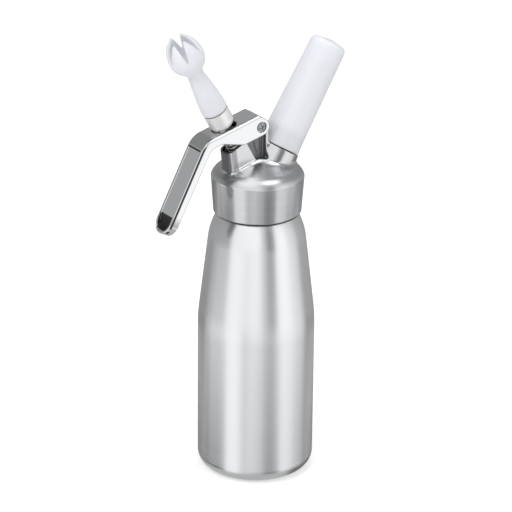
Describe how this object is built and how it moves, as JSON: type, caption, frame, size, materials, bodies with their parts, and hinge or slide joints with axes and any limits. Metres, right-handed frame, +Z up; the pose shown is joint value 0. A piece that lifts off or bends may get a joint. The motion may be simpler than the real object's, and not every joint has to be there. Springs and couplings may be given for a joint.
{
  "type": "whipped cream dispenser",
  "caption": "Aluminium whipped cream dispenser: tapered bottle, screwed head, chromed lever over a sprung valve stem with a tulip tip, and a fluted holder over a gas charger.",
  "frame": {"origin": "centre of the bottle's base, on the surface it stands on", "axes": "+Z up the bottle's axis, -X towards the lever and the cream tip, +X towards the gas charger; y = 0 is the plane of symmetry"},
  "size_m": [0.1457, 0.082, 0.3285],
  "materials": {
    "brushed_aluminium": "circumferentially brushed satin",
    "bright_chrome": "bright, polished plating",
    "stainless_steel": "turned, fine",
    "white_plastic": "moulded, slightly cool white",
    "black_rubber": "matte",
    "pale_silicone": "matte",
    "brass": "turned"
  },
  "bodies": {
    "bottle": {"bottle": "brushed_aluminium"},
    "head_gasket": {"head_gasket": "pale_silicone"},
    "head": {"head": "brushed_aluminium", "valve_gland": "brass", "valve_spring": "stainless_steel", "piercing_pin": "stainless_steel", "check_valve_ring": "black_rubber", "charger_gasket": "black_rubber"},
    "lever": {"lever": "bright_chrome", "pivot_sleeve": "stainless_steel", "pivot_screw": "stainless_steel"},
    "valve_stem": {"valve_stem": "stainless_steel", "stem_seal": "black_rubber", "lower_stem_ring": "black_rubber", "upper_stem_ring": "black_rubber", "stem_collar": "stainless_steel", "nozzle_adapter": "stainless_steel"},
    "decorator_tip": {"decorator_tip": "white_plastic"},
    "gas_charger": {"gas_charger": "stainless_steel"},
    "charger_holder": {"charger_holder": "white_plastic", "holder_insert": "stainless_steel"}
  },
  "joints": [
    {"name": "head_lift", "type": "slide", "parent": "bottle", "child": "head_gasket", "axis": [0, 0, 1], "range_m": [0, 0.009]},
    {"name": "head_turn", "type": "hinge", "parent": "head_gasket", "child": "head", "pos_m": [0, 0, 0.2], "axis": [0, 0, 1], "range_deg": [0, 1080]},
    {"name": "lever_press", "type": "hinge", "parent": "head", "child": "lever", "pos_m": [-0.0029, 0, 0.25569], "axis": [0, -1, 0], "range_deg": [0, 11], "stiffness_Nm_per_rad": 1.5, "springref_deg": -14.32},
    {"name": "stem_slide", "type": "slide", "parent": "head", "child": "valve_stem", "axis": [0.4833, 0, -0.8755], "range_m": [0, 0.00395], "deforming": ["valve_spring"]},
    {"name": "tip_lift", "type": "slide", "parent": "valve_stem", "child": "decorator_tip", "axis": [-0.4833, 0, 0.8755], "range_m": [0, 0.03]},
    {"name": "charger_lift", "type": "slide", "parent": "head", "child": "gas_charger", "axis": [0.515, 0, 0.8572], "range_m": [0, 0.006]},
    {"name": "holder_turn", "type": "hinge", "parent": "gas_charger", "child": "charger_holder", "pos_m": [0, 0, 0.208], "axis": [0.515, 0, 0.8572], "range_deg": [0, 1440]}
  ],
  "couplings": [
    {"joint": "head_lift", "follows": "head_turn", "m_per_rad": 0.00047746},
    {"joint": "stem_slide", "follows": "lever_press", "m_per_rad": 0.02051},
    {"joint": "charger_lift", "follows": "holder_turn", "m_per_rad": 0.00023873}
  ]
}
